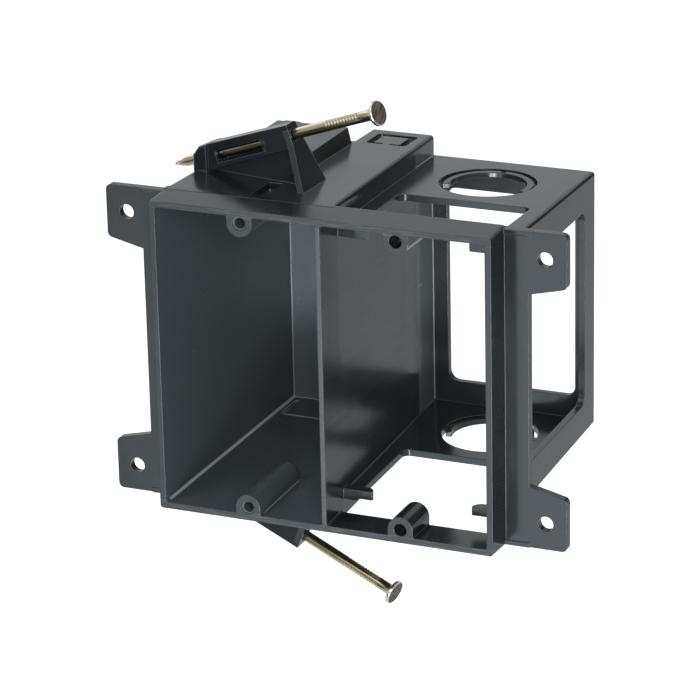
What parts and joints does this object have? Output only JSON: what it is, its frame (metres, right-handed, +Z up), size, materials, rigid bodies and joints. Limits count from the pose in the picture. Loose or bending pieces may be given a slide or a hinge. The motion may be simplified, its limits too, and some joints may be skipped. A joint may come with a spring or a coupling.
{
  "type": "new work outlet box",
  "caption": "Nail-on new work outlet box for studs, with a closed power gang beside an open low voltage gang, two flange ears on each side and captive nails.",
  "frame": {"origin": "on the front face of the four mounting ears, midway between their holes", "axes": "+X to the right seen from the front, +Y back into the wall, +Z up"},
  "size_m": [0.1364, 0.0864, 0.1479],
  "materials": {
    "box_plastic": "gloss",
    "nail_steel": "satin"
  },
  "bodies": {
    "box": {"box_body": "box_plastic"},
    "upper_nail_body": {"upper_nail": "nail_steel"},
    "lower_nail_body": {"lower_nail": "nail_steel"}
  },
  "joints": [
    {"name": "upper_nail_drive", "type": "slide", "parent": "box", "child": "upper_nail_body", "axis": [-0.9242, 0.173, -0.3404], "range_m": [0, 0.0275]},
    {"name": "lower_nail_drive", "type": "slide", "parent": "box", "child": "lower_nail_body", "axis": [-0.9242, 0.173, 0.3404], "range_m": [0, 0.0303]}
  ]
}
